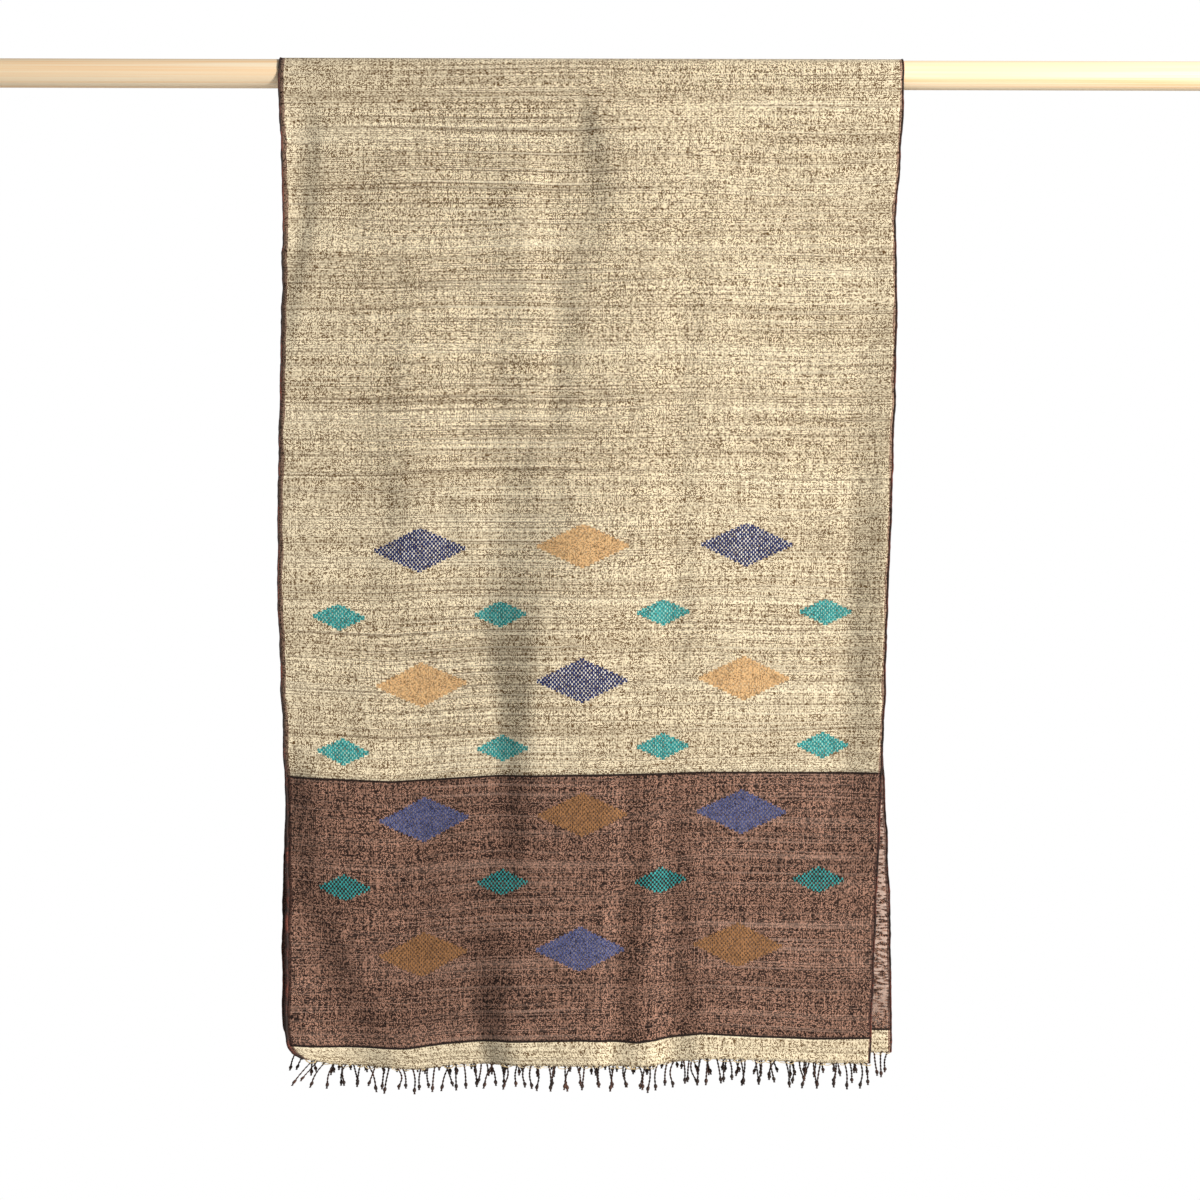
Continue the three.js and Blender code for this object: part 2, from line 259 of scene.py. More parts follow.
BACK = {
    "side": 1,
    # rows of down, and where the left and the right edge lie across
    "edges": (
        (0, -280.5, 280.5),
        (18, -280.5, 280.5),
        (120, -278, 276),
        (300, -276, 268),
        (560, -275, 263),
        (660, -276, 269),
        (760, -279, 273.5),
        (865, -278.5, 275),
        (890, -268, 275),
    ),
    "lines": {
        "band": ((0, 0.5, 1), (634, 630, 632)),
        "heading": ((0, 0.4, 1), (870, 866, 866)),
        "hem": ((0, 0.4, 1), (886, 885, 886.5)),
    },
    "folds": (
        # the whole layer
        (
            (60, 0, 900, 900, 0),
            (892, 0, 900, 900, 2),
        ),
        # two broad swells
        (
            (80, -150, 95, 95, 0),
            (420, -160, 95, 95, 6),
            (892, -172, 95, 95, 8),
        ),
        (
            (200, 96, 85, 85, 0),
            (560, 84, 85, 85, 6),
            (892, 70, 85, 85, 9),
        ),
        # middle
        (
            (40, -10, 52, 34, 0),
            (240, -18, 52, 36, -5),
            (520, -30, 52, 40, -6),
            (892, -52, 52, 40, -6),
        ),
        # right
        (
            (330, 190, 36, 26, 0),
            (600, 182, 36, 28, -5),
            (892, 168, 36, 30, -6),
        ),
        # left
        (
            (520, -246, 34, 22, 0),
            (720, -238, 34, 24, -4),
            (892, -230, 34, 24, -5),
        ),
    ),
    "splay": (-8, -5),
}

# ---- the cloth as it was woven, in millimetres from the front hem, along the warp ----

HEADING = 20
BAND = 238
FALL = 631  # of the field, on each side of the rod
ARC = math.pi * HANGING / MM
LENGTH = 2 * (HEADING + BAND + FALL) + ARC
FRONT_MARKS = (0, HEADING, HEADING + BAND, HEADING + BAND + FALL)

FOLDS_START = (4, 50)  # millimetres down, where the folds begin and where they are at full depth
ROUNDING = 9  # how far a table's corners are rounded, in millimetres

# Small creases: width and height of the waves in millimetres, strength, and where the noise is read.
CREASES = ((34, 210, 1, 0), (13, 90, 0.45, 7))
CREASE_HEIGHT = 1.1
CREASES_START = (5, 65)
# The uneven beat of the weft pulls the edges in and out: length along the edge, strength, and place.
EDGE_WAVES = ((26, 1, 0), (8, 0.4, 3))
EDGE_PULL = 1.1
EDGE_REACH = 14


# ---- settings ----


class StoleSize(bpy.types.PropertyGroup):
    """Sizes of the cloth and its parts"""

    thickness: FloatProperty(
        name="Thickness",
        description="Of the woven silk",
        default=0.6 * MM,
        unit="LENGTH",
        precision=5,
    )
    grid: FloatProperty(
        name="Grid",
        description="Spacing of the cloth's mesh",
        default=4.4 * MM,
        unit="LENGTH",
        precision=4,
    )
    selvedge_radius: FloatProperty(
        name="Selvedge radius",
        description="Of the doubled warp ends",
        default=0.9 * MM,
        unit="LENGTH",
        precision=5,
    )
    strands: IntProperty(
        name="Strands",
        description="Twisted strands on each end",
        default=76,
        min=2,
    )
    strand_length: FloatProperty(
        name="Strand length",
        description="From the hem to the knot",
        default=18.5 * MM,
        unit="LENGTH",
        precision=4,
    )
    ply_radius: FloatProperty(
        name="Ply radius",
        description="Of each of a strand's two plies",
        default=0.54 * MM,
        unit="LENGTH",
        precision=5,
    )


class StoleColour(bpy.types.PropertyGroup):
    """Colours of the silk and the wood"""

    natural: FloatVectorProperty(
        name="Natural silk",
        description="Undyed ground",
        subtype="COLOR",
        default=hex_linear("#f3e6c8"),
    )
    natural_dark: FloatVectorProperty(
        name="Natural flecks",
        description="Shadow between the yarns",
        subtype="COLOR",
        default=hex_linear("#5f4626"),
    )
    brown: FloatVectorProperty(
        name="Brown silk",
        description="The end bands",
        subtype="COLOR",
        default=hex_linear("#ab826f"),
    )
    brown_dark: FloatVectorProperty(
        name="Brown flecks",
        description="Shadow between brown yarns",
        subtype="COLOR",
        default=hex_linear("#1c0b06"),
    )
    dark: FloatVectorProperty(
        name="Dark ends",
        description="Selvedges and fringe",
        subtype="COLOR",
        default=hex_linear("#1f100c"),
    )
    blue: FloatVectorProperty(
        name="Blue inlay",
        description="Motifs",
        subtype="COLOR",
        default=hex_linear("#202d62"),
    )
    turquoise: FloatVectorProperty(
        name="Turquoise inlay",
        description="Small motifs",
        subtype="COLOR",
        default=hex_linear("#2f989a"),
    )
    tan: FloatVectorProperty(
        name="Tan inlay",
        description="Motifs",
        subtype="COLOR",
        default=hex_linear("#d5ab79"),
    )
    wood: FloatVectorProperty(
        name="Wood",
        description="Planed pale softwood",
        subtype="COLOR",
        default=hex_linear("#fff0d4"),
    )


# ---- shared tools ----


def hump(distance):
    """1 at 0 and 0 from 1 on, with no slope at either."""
    return np.clip(1 - distance**2, 0, None) ** 2


def eased(down, rows, column):
    """A column of a table of folds at each height, with the table's corners rounded off."""
    table = np.array(rows, float)
    above, here, below = (
        np.interp(down + shift, table[:, 0], table[:, column]) for shift in (-ROUNDING, 0, ROUNDING)
    )
    return (above + 2 * here + below) / 4


def relief(layer, across, down):
    """How far a layer stands off its hanging plane, away from the other one, in millimetres."""
    height = np.zeros_like(across)
    for rows in layer["folds"]:
        past = across - eased(down, rows, 1)
        reach = np.where(past > 0, eased(down, rows, 3), eased(down, rows, 2))
        height += eased(down, rows, 4) * hump(past / reach)
    begun = np.clip((down - FOLDS_START[0]) / (FOLDS_START[1] - FOLDS_START[0]), 0, 1)
    return height * begun**2 * (3 - 2 * begun)


def creases(across, down, seed):
    """The small soft waves that a dry, crisp silk keeps: mostly upright, and uneven."""
    waves = np.zeros_like(across)
    for wide, tall, strength, place in CREASES:
        points = zip(across / wide, down / tall)
        waves += [strength * noise.noise(Vector((x, z, seed + place))) for x, z in points]
    start, full = CREASES_START
    return CREASE_HEIGHT * waves * np.clip((down - start) / (full - start), 0, 1)


def hanging_points(layer, share, down, seed):
    """Points of a hanging layer's middle, in metres."""
    edges = np.array(layer["edges"], float)
    left, right = (np.interp(down, edges[:, 0], edges[:, column]) for column in (1, 2))
    across = left + (right - left) * share
    from_edge = np.minimum(share, 1 - share) * (right - left)
    bite = np.zeros_like(across)
    for long, strength, place in EDGE_WAVES:
        points = zip(down / long, share // 0.5)
        bite += [strength * noise.noise(Vector((seed + place, z, half))) for z, half in points]
    pull = EDGE_PULL * bite * hump(from_edge / EDGE_REACH) * np.where(share < 0.5, 1, -1)
    out = HANGING / MM + relief(layer, across, down) + creases(across, down, seed)
    return np.stack([across + pull, layer["side"] * out, -down], 1) * MM


def down_at(layer, share, along):
    """How far down the rod's axis a warp position lies, where along is from that layer's own hem."""
    lines = layer["lines"]
    falls = [np.interp(share, *lines[name]) for name in ("hem", "heading", "band")]
    falls.append(np.zeros_like(share))
    down = np.zeros_like(share)
    for low, high, start, end in zip(FRONT_MARKS, FRONT_MARKS[1:], falls, falls[1:]):
        part = (along - low) / (high - low)
        down = np.where((part >= 0) & (part <= 1), start + (end - start) * part, down)
    return down


def cloth_points(share, along):
    """Where the cloth's middle lies, for shares of its width and millimetres along it from the front hem."""
    front = hanging_points(FRONT, share, down_at(FRONT, share, along), 1)
    back = hanging_points(BACK, share, down_at(BACK, share, LENGTH - along), 2)
    angle = np.pi * (along - FRONT_MARKS[3]) / ARC
    across = (share - 0.5) * WIDTH
    over = np.stack([across, -HANGING * np.cos(angle), HANGING * np.sin(angle)], 1)
    return np.where((angle <= 0)[:, None], front, np.where((angle >= np.pi)[:, None], back, over))


def add_object(name, bm_or_mesh, material):
    """Links a finished mesh at the origin, with its material, riding on the part's one body."""
    mesh = bm_or_mesh
    if isinstance(bm_or_mesh, bmesh.types.BMesh):
        mesh = bpy.data.meshes.new(name)
        bm_or_mesh.to_mesh(mesh)
        bm_or_mesh.free()
    mesh.materials.append(material)
    mesh.polygons.foreach_set("use_smooth", [True] * len(mesh.polygons))
    obj = bpy.data.objects.new(name, mesh)
    bpy.context.scene.collection.objects.link(obj)
    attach(obj, "root")
    return obj


def woven_sheet(name, marks, material, size, row_shares=(0, 1)):
    """The stretch of the cloth between marks along its warp, as a thin shell.

    row_shares says what share of the rows of its mesh lies before each mark.
    """
    columns = round(WIDTH / size.grid)
    rows = max(round((marks[-1] - marks[0]) * MM / size.grid), 4)
    bm = bmesh.new()
    bmesh.ops.create_grid(bm, x_segments=columns, y_segments=rows, size=0.5)
    flat = np.array([v.co for v in bm.verts])
    share = flat[:, 0] - flat[:, 0].min()
    along = flat[:, 1] - flat[:, 1].min()
    share, along = share / share.max(), np.interp(along / along.max(), row_shares, marks)
    weave = bm.loops.layers.uv.new("Weave")
    for vert, point in zip(bm.verts, cloth_points(share, along)):
        vert.co = point
    bm.verts.index_update()
    for face in bm.faces:
        for loop in face.loops:
            i = loop.vert.index
            loop[weave].uv = (share[i] * WIDTH, along[i] * MM)
    obj = add_object(name, bm, material)
    shell = obj.modifiers.new("thickness", "SOLIDIFY")
    shell.thickness = size.thickness
    shell.offset = 0
    return obj


def node(tree, kind, inputs=(), **settings):
    """Adds a shader node, sets its properties, and fills or links its inputs, in order or by name."""
    made = tree.nodes.new("ShaderNode" + kind)
    for name, value in settings.items():
        setattr(made, name, value)
    if isinstance(inputs, dict):
        filled = [(made.inputs[name], value) for name, value in inputs.items()]
    else:
        filled = zip([socket for socket in made.inputs if socket.enabled], inputs)
    for socket, value in filled:
        if isinstance(value, bpy.types.Node):
            value = next(output for output in value.outputs if output.enabled)
        if isinstance(value, bpy.types.NodeSocket):
            tree.links.new(value, socket)
        else:
            socket.default_value = value
    return made


def new_material(name):
    """A material with an empty node tree, and the function that adds a node to it."""
    material = bpy.data.materials.new(name)
    material.use_nodes = True
    material.node_tree.nodes.clear()
    return material, partial(node, material.node_tree)


def colour(value):
    """A colour with its alpha, for a node."""
    return (*value, 1)


def tone(code):
    """A hex colour, for a node."""
    return colour(hex_linear(code))


# ---- the silk ----

THREAD = 0.9  # millimetres; the yarns are 0.45 mm apart, too fine to show, so two are drawn as one
STRIPE_LEFT = 4.2  # the brown warp stripes beside the selvedges
STRIPE_RIGHT = 2.6
STRIPE_WANDER = 3  # between the furthest that their inner edges stray
JOIN = 1.9  # the dark picks where the weft changes colour
FLOATS_REACH = 38  # how far in from the selvedge the pale weft ends go
FLOATS_FADE = 50  # and how far above the heading they are at full strength

# How light a crossing has to be for one yarn's tone to be all shadow, and all ground.
NATURAL_DEPTH = (0.39, 0.69)
BROWN_DEPTH = (0.505, 0.76)
HEADING_DEPTH = (0.34, 0.66)

# What makes a crossing light: the crossing itself, whether weft or warp is on top, and the two yarns.
CROSSING_SHARE = 0.64
OVER_SHARE = 0.08
WEFT_SHARE = 0.09
WARP_SHARE = 0.19
YARN_SPAN = (0.3, 0.7)  # the values of the noise at which a yarn is darkest and palest
NUBS = 0.006  # the share of crossings with a dark nub

# Thick single lengths of weft: millimetres long, where the noise is read, from and to which of its
# values they come in, and their strength.
DARK_LINES = ((330, 13.9, 0.63, 0.73, 0.45), (800, 31.3, 0.66, 0.73, 0.5))
PALE_LINES = ((260, 21.7, 0.62, 0.74, 0.4),)

# The inlay: a plain half-drop of stepped lozenges, in millimetres from the hem and from the middle.
PITCH_ACROSS = 150
PITCH_ALONG = 120
PICK = 2.0  # the height of one row of inlay floats
FLOAT = 3.6  # from one float to the next in a row
LARGE = {"half_width": 42, "half_height": 19, "first": 102, "rows": 4, "shift": 0, "reach": 200}
SMALL = {"half_width": 24, "half_height": 11, "first": 162, "rows": 3, "shift": 75, "reach": 262}


class Threads:
    """Where a point lies among the cloth's threads, in millimetres across it and along its warp."""

    def __init__(self, add):
        self.add = add
        self.straight = add("VectorMath", (add("UVMap", uv_map="Weave"), 1 / MM), operation="SCALE")
        place = add("SeparateXYZ", (self.straight,))
        self.across, self.along = place.outputs[0], place.outputs[1]
        self.from_middle = add("Math", (self.across, WIDTH / MM / 2), operation="SUBTRACT")
        from_back = add("Math", (LENGTH, self.along), operation="SUBTRACT")
        self.from_hem = add("Math", (self.along, from_back), operation="MINIMUM")
        # Hand-beaten weft is never quite straight.
        drift = add("Math", (self.grain(170, 60, 0, 2.7), 7, self.along), operation="MULTIPLY_ADD")
        self.beaten = add("CombineXYZ", (self.across, drift))

    def grain(self, across, along, detail, shift, beaten=False):
        """Uneven tone in grains of that many millimetres, which may follow the weft as it was beaten."""
        threads = self.beaten if beaten else self.straight
        scale = (1 / across, 1 / along, 1)
        place = self.add("Mapping", {"Vector": threads, "Location": (shift, shift, 0), "Scale": scale})
        return self.add("TexNoise", {"Vector": place, "Scale": 1, "Detail": detail}, noise_dimensions="2D")


def silk(name, tones, depth, motifs=None, stripe=None, joins=False, floats=None, streaks=1.0):
    """Handwoven silk, matt and dry to the eye, with uneven weft that shows as long faint lines.

    tones are its ground, the shadow between its yarns, its pale slubs and its dark ones, and depth is
    how far apart the first two lie. motifs are the inlay's colours, stripe the selvedge's, floats that of
    the pale weft ends laid in beside the right selvedge, and streaks how much its lengths of weft differ.
    Each motif has its yarn, what shows between its floats, and how much of the ground they cover.
    """
    material, add = new_material(name)
    threads = Threads(add)
    ground, shadow, pale, dark = tones

    # How light each crossing is: its own chance, over and under by turns, and each length of yarn.
    cell = add("VectorMath", (threads.beaten, (THREAD, THREAD, 1)), operation="DIVIDE")
    cell = add("VectorMath", (cell,), operation="FLOOR")
    crossing = add("TexWhiteNoise", (cell,), noise_dimensions="2D")
    turn = add("VectorMath", (cell, (1, 1, 0)), operation="DOT_PRODUCT")
    over = add("Math", (turn, 2), operation="FLOORED_MODULO")
    weft = add("MapRange", (threads.grain(110, THREAD, 1, 9.3, beaten=True), *YARN_SPAN))
    warp = add("MapRange", (threads.grain(THREAD, 38, 1, 3.1), *YARN_SPAN))
    chance = add("Math", (crossing, 0.7), operation="POWER")
    light = add("Math", (chance, CROSSING_SHARE), operation="MULTIPLY")
    for yarn, share in ((over, OVER_SHARE), (weft, WEFT_SHARE * streaks), (warp, WARP_SHARE)):
        light = add("Math", (yarn, share, light), operation="MULTIPLY_ADD")
    body = add("Mix", (add("MapRange", (light, *depth)), shadow, ground), data_type="RGBA")

    # Broad bands where another shade of hand-reeled yarn was wound in.
    broad = threads.grain(1100, 19, 2, 5.7, beaten=True)
    for other, low, high, most in ((shadow, 0.4, 0.68, 0.2), (pale, 0.42, 0.3, 0.14)):
        share = add("MapRange", (broad, low, high, 0, most * streaks))
        body = add("Mix", (share, body, other), data_type="RGBA")

    # Single thick lengths of weft.
    for other, lines in ((dark, DARK_LINES), (pale, PALE_LINES)):
        for long, shift, low, high, most in lines:
            line = threads.grain(long, THREAD, 0, shift, beaten=True)
            share = add("MapRange", (line, low, high, 0, most * streaks))
            body = add("Mix", (share, body, other), data_type="RGBA")

    # Pale weft ends that thin out inwards from the selvedge, and towards the heading.
    if floats:
        share = add("MapRange", (threads.grain(7, 2.6, 2, 41.3), 0.46, 0.58, 0, 0.66))
        edge = WIDTH / MM
        beside = add("MapRange", (threads.across, edge - FLOATS_REACH, edge - FLOATS_REACH / 2))
        above = add("MapRange", (threads.from_hem, HEADING, HEADING + FLOATS_FADE, 0.15))
        for part in (beside, above):
            share = add("Math", (share, part), operation="MULTIPLY")
        body = add("Mix", (share, body, floats), data_type="RGBA")

    # Rare dark nubs of bark and cocoon.
    nub = add("Math", (crossing, 1 - NUBS), operation="GREATER_THAN")
    body = add("Mix", (nub, body, dark), data_type="RGBA")

    if motifs:
        body = inlay(threads, body, light, motifs)
    if joins:
        inside = add("Math", (threads.from_hem, HEADING + BAND / 2, BAND / 2 - JOIN), operation="COMPARE")
        body = add("Mix", (add("MapRange", (inside, 0, 1, 0.95, 0)), body, dark), data_type="RGBA")
    if stripe:
        wander = add("Math", (threads.grain(60, 26, 1, 7.9), 0.5), operation="SUBTRACT")
        wander = add("Math", (wander, STRIPE_WANDER, threads.across), operation="MULTIPLY_ADD")
        middle = (STRIPE_LEFT + WIDTH / MM - STRIPE_RIGHT) / 2
        inside = add("Math", (wander, middle, middle - STRIPE_LEFT), operation="COMPARE")
        thread = add("Mix", (add("MapRange", (light, 0.3, 0.8, 0, 0.7)), *stripe), data_type="RGBA")
        body = add("Mix", (add("MapRange", (inside, 0, 1, 0.85, 0)), body, thread), data_type="RGBA")

    surface = {
        "Base Color": body,
        "Roughness": add("MapRange", (light, 0.2, 0.8, 0.86, 0.66)),
        "Normal": add("Bump", {"Height": light, "Strength": 0.5, "Distance": 0.45 * MM}),
        "Sheen Weight": 0.05,
        "Sheen Roughness": 0.5,
        "Specular IOR Level": 0.22,
    }
    add("OutputMaterial", {"Surface": add("BsdfPrincipled", surface)})
    return material


def lozenges(threads, kind):
    """1 inside a half-drop's lozenges of one kind, and 0 outside."""
    add = threads.add
    shifted = add("Math", (threads.from_middle, kind["shift"]), operation="SUBTRACT")
    above = add("Math", (threads.from_hem, kind["first"]), operation="SUBTRACT")
    beside, up = (
        add("Math", (add("Math", (place, pitch / 2, -pitch / 2), operation="WRAP"),), operation="ABSOLUTE")
        for place, pitch in ((shifted, PITCH_ACROSS), (above, PITCH_ALONG))
    )
    step = add("Math", (up, PICK), operation="SNAP")
    slope = kind["half_width"] / kind["half_height"]
    half = add("Math", (step, -slope, kind["half_width"]), operation="MULTIPLY_ADD")
    middle_row = (kind["rows"] - 1) * PITCH_ALONG / 2
    inside = add("Math", (beside, half), operation="LESS_THAN")
    for place, middle, reach in (
        (above, middle_row, middle_row + kind["half_height"]),
        (threads.from_middle, 0, kind["reach"]),
    ):
        near = add("Math", (place, middle, reach), operation="COMPARE")
        inside = add("Math", (inside, near), operation="MULTIPLY")
    return inside


def inlay(threads, body, light, motifs):
    """Lays the lozenges over the ground as staggered floats of coloured weft."""
    add = threads.add
    row = add("Math", (add("Math", (threads.along, PICK), operation="DIVIDE"),), operation="FLOOR")
    stagger = add("Math", (add("Math", (row, 2), operation="FLOORED_MODULO"), 0.5), operation="MULTIPLY")
    phase = add("Math", (add("Math", (threads.across, FLOAT), operation="DIVIDE"), stagger), operation="ADD")
    cell = add("CombineXYZ", (add("Math", (phase,), operation="FLOOR"), row))
    uneven = add("TexWhiteNoise", (cell,), noise_dimensions="2D")
    past = add("Math", (uneven, 0.2, add("Math", (phase,), operation="FRACT")), operation="MULTIPLY_ADD")
    lit = add("MapRange", (light, 0.38, 0.68))

    def floats(yarn, between, cover):
        in_shadow = colour([share * 0.45 for share in yarn[:3]])
        thread = add("Mix", (lit, in_shadow, yarn), data_type="RGBA")
        gap = add("Mix", (lit, body, between), data_type="RGBA")
        covered = add("Math", (past, cover), operation="LESS_THAN")
        return add("Mix", (covered, gap, thread), data_type="RGBA")

    # Blue and tan take turns, from one large lozenge to the next.
    column = add("Math", (threads.from_middle, PITCH_ACROSS), operation="DIVIDE")
    rank = add("Math", (threads.from_hem, LARGE["first"]), operation="SUBTRACT")
    rank = add("Math", (rank, PITCH_ALONG), operation="DIVIDE")
    column, rank = (add("Math", (place,), operation="ROUND") for place in (column, rank))
    odd = add("Math", (add("Math", (column, rank), operation="ADD"), 2), operation="FLOORED_MODULO")
    large = add("Mix", (odd, floats(*motifs["blue"]), floats(*motifs["tan"])), data_type="RGBA")
    small = floats(*motifs["turquoise"])
    for kind, thread in ((LARGE, large), (SMALL, small)):
        body = add("Mix", (lozenges(threads, kind), body, thread), data_type="RGBA")
    return body


# ---- pieces ----


def natural_tones(colours):
    return colour(colours.natural), colour(colours.natural_dark), tone("#f8efd6"), tone("#54402b")


def stripe_of(colours):
    return colour(colours.brown_dark), colour(colours.brown)


class STOLE_OT_field(bpy.types.Operator):
    """Weave the natural field, from the front band over the rod to the back band"""

    bl_idname = "stole.field"
    bl_label = "Natural field"

    def execute(self, context):
        size, colours = context.scene.stole_size, context.scene.stole_colour
        motifs = {
            "blue": (colour(colours.blue), tone("#e2e0da"), 0.82),
            "turquoise": (colour(colours.turquoise), tone("#8fcfc4"), 0.84),
            "tan": (colour(colours.tan), tone("#dcbb8a"), 0.86),
        }
        tones, stripe = natural_tones(colours), stripe_of(colours)
        material = silk("natural tussar silk, handwoven", tones, NATURAL_DEPTH, motifs, stripe)
        start = HEADING + BAND
        marks = (start, start + FALL, start + FALL + ARC, LENGTH - start)
        obj = woven_sheet("field", marks, material, size, row_shares=(0, 0.46, 0.54, 1))
        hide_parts("cloth_over_rod", "front_field", "back_field")
        return {"FINISHED"}


class STOLE_OT_bands(bpy.types.Operator):
    """Weave the brown band at each end"""

    bl_idname = "stole.bands"
    bl_label = "Brown bands"

    def execute(self, context):
        size, colours = context.scene.stole_size, context.scene.stole_colour
        motifs = {
            "blue": (tone("#4c5484"), tone("#75707c"), 0.78),
            "turquoise": (tone("#3aa5a6"), tone("#0c0706"), 0.55),
            "tan": (tone("#9c7048"), tone("#5c4335"), 0.8),
        }
        brown, shadow = colour(colours.brown), colour(colours.brown_dark)
        tones = (brown, shadow, tone("#c4a596"), tone("#1a0d0a"))
        stripe = (tone("#1a0b07"), tone("#64433a"))
        for end, start, floats in (
            ("front", HEADING, None),
            ("back", LENGTH - HEADING - BAND, tone("#e2c8bc")),
        ):
            name = f"brown silk, handwoven, {end} end"
            material = silk(
                name, tones, BROWN_DEPTH, motifs, stripe, joins=True, floats=floats, streaks=0.6
            )
            obj = woven_sheet(f"{end}_band_cloth", (start, start + BAND), material, size)
            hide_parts(f"{end}_band")
        return {"FINISHED"}


class STOLE_OT_headings(bpy.types.Operator):
    """Weave the natural strip that closes each end"""

    bl_idname = "stole.headings"
    bl_label = "Headings"

    def execute(self, context):
        size, colours = context.scene.stole_size, context.scene.stole_colour
        tones, stripe = natural_tones(colours), stripe_of(colours)
        material = silk("natural silk heading, handwoven", tones, HEADING_DEPTH, stripe=stripe)
        for end, start in (("front", 0), ("back", LENGTH - HEADING)):
            obj = woven_sheet(f"{end}_heading_cloth", (start, start + HEADING), material, size)
            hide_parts(f"{end}_heading")
        return {"FINISHED"}


PLY_SHOWS = MM / 0.9  # 1.1 mm, the length of a ply that faces outwards
PALE_RUN = MM / 0.06  # 17 mm, the length over which the ends keep one tone


def thread_material(name, base, pale):
    """Twisted silk ends: dull and fibrous, with a paler tone here and there that is partly a paler ply of
    yarn and partly a painted glint where it catches the light.
    """
    material, add = new_material(name)
    place = add("TexCoord").outputs["Object"]
    plies = add("TexNoise", {"Vector": place, "Scale": 1 / PLY_SHOWS, "Detail": 2})
    runs = add("TexNoise", {"Vector": place, "Scale": 1 / PALE_RUN, "Detail": 1})
    # Where ply and run noise meet, the pale tone shows: partly paler yarn, partly painted glints.
    both = add("MapRange", (add("Math", (plies, runs), operation="MULTIPLY"), 0.22, 0.42))
    surface = {
        "Base Color": add("Mix", (both, base, pale), data_type="RGBA"),
        "Roughness": add("MapRange", (plies, 0, 1, 0.9, 0.6)),
        "Normal": add("Bump", {"Height": plies, "Strength": 0.3, "Distance": 0.3 * MM}),
    }
    add("OutputMaterial", {"Surface": add("BsdfPrincipled", surface)})
    return material


SELVEDGE_STEP = 2.6  # millimetres along the edge
# The left selvedge curls into a thicker roll along the front band: millimetres from the hem, and how
# much thicker.
LEFT_ROLL = ((0, 8, 255, 300), (1, 1.9, 1.7, 1))
SELVEDGE_LUMP = 4.5  # millimetres along the edge
SELVEDGE_UNEVEN = 0.35  # how much its lumps add to its thickness


class STOLE_OT_selvedges(bpy.types.Operator):
    """Lay the dark doubled warp ends along both edges of the whole cloth"""

    bl_idname = "stole.selvedges"
    bl_label = "Selvedges"

    def execute(self, context):
        size, colours = context.scene.stole_size, context.scene.stole_colour
        # The reddish tone is partly painted glint along the dark cord.
        material = thread_material("dark silk selvedge", colour(colours.dark), tone("#713526"))
        steps = round(LENGTH / SELVEDGE_STEP)
        along = np.linspace(0.5, LENGTH - 0.5, steps)
        for side, share in (("left", 0.0), ("right", 1.0)):
            curve = bpy.data.curves.new(f"selvedge_{side}", "CURVE")
            curve.dimensions = "3D"
            curve.bevel_depth = size.selvedge_radius
            curve.bevel_resolution = 1
            curve.use_fill_caps = True
            spline = curve.splines.new("POLY")
            spline.points.add(steps - 1)
            path = cloth_points(np.full(steps, share), along)
            for point, place, at in zip(spline.points, path, along):
                roll = np.interp(at, *LEFT_ROLL) if side == "left" else 1
                point.co = (*place, 1)
                lump = noise.noise(Vector((at / SELVEDGE_LUMP, share * 9, 3)))
                point.radius = roll + SELVEDGE_UNEVEN * lump
            cord = bpy.data.objects.new("cord", curve)
            obj = add_object(f"selvedge_{side}", bpy.data.meshes.new_from_object(cord), material)
            bpy.data.objects.remove(cord)
            bpy.data.curves.remove(curve)
        return {"FINISHED"}


STRAND_STEPS = 18  # of its helix
TWIST = 6 * MM  # along a strand for one turn of its plies
GATHERING = 3.4 * MM  # the two ends that gather into a strand, at its top
KNOT = 3.1  # its radius, in radii of a ply
KNOT_SHAPE = (1.0, 1.0, 1.3)
TUFT = 2.8 * MM
TUFT_ENDS = 5
SUNK = 0.8 * MM  # how far a strand's top lies inside the hem
# How a pair of strands hangs: 0 straight, 1 with its tips together, 2 crossed, below 0 apart.
HABITS = (0, 0.2, 0.9, 1.0, 1.05, 1.6, 2.1, -0.4, 0.5, 0.95)


def strand_template(size):
    """One straight two-ply strand with the ends that gather into it, its knot and its tuft."""
    length, ply = size.strand_length, size.ply_radius
    bm = bmesh.new()
    for side in (-1, 1):
        # The plies press into each other a little.
        beside = Matrix.Translation((side * ply * 0.85, 0, 0))
        bmesh.ops.create_circle(bm, cap_ends=True, radius=ply, segments=6, matrix=beside)
    bmesh.ops.spin(
        bm,
        geom=bm.faces[:],
        cent=(0, 0, 0),
        axis=(0, 0, 1),
        dvec=(0, 0, -length / STRAND_STEPS),
        angle=math.tau * length / TWIST,
        steps=STRAND_STEPS,
        use_merge=False,
    )

    # Two ends come down to its top from the weft, and others stick out below its knot: where each
    # lies, how many sides it has, its two radii in radii of a ply, and its length.
    ends = []
    half_out = Matrix.Translation((0, 0, 1.2 * MM))
    for side in (-1, 1):
        spread = Matrix.Translation((0, 0, -1.6 * MM)) @ Matrix.Rotation(side * 0.85, 4, "Y")
        ends.append((spread @ half_out, 5, 0.9, 0.5, GATHERING))
    for i in range(TUFT_ENDS):
        around = Matrix.Rotation(i * math.tau / TUFT_ENDS, 4, "Z") @ Matrix.Rotation(0.3, 4, "X")
        below = Matrix.Translation((0, 0, -length - ply * 2)) @ around
        ends.append((below @ half_out.inverted(), 4, 0.5, 1.2, TUFT))
    for place, segments, low, high, depth in ends:
        bmesh.ops.create_cone(
            bm,
            cap_ends=True,
            segments=segments,
            radius1=ply * low,
            radius2=ply * high,
            depth=depth,
            matrix=place,
        )
    knot = Matrix.Translation((0, 0, -length)) @ Matrix.Diagonal((*KNOT_SHAPE, 1))
    bmesh.ops.create_icosphere(bm, subdivisions=2, radius=ply * KNOT, matrix=knot)
    bmesh.ops.recalc_face_normals(bm, faces=bm.faces[:])
    mesh = bpy.data.meshes.new("strand")
    bm.to_mesh(mesh)
    bm.free()
    return mesh


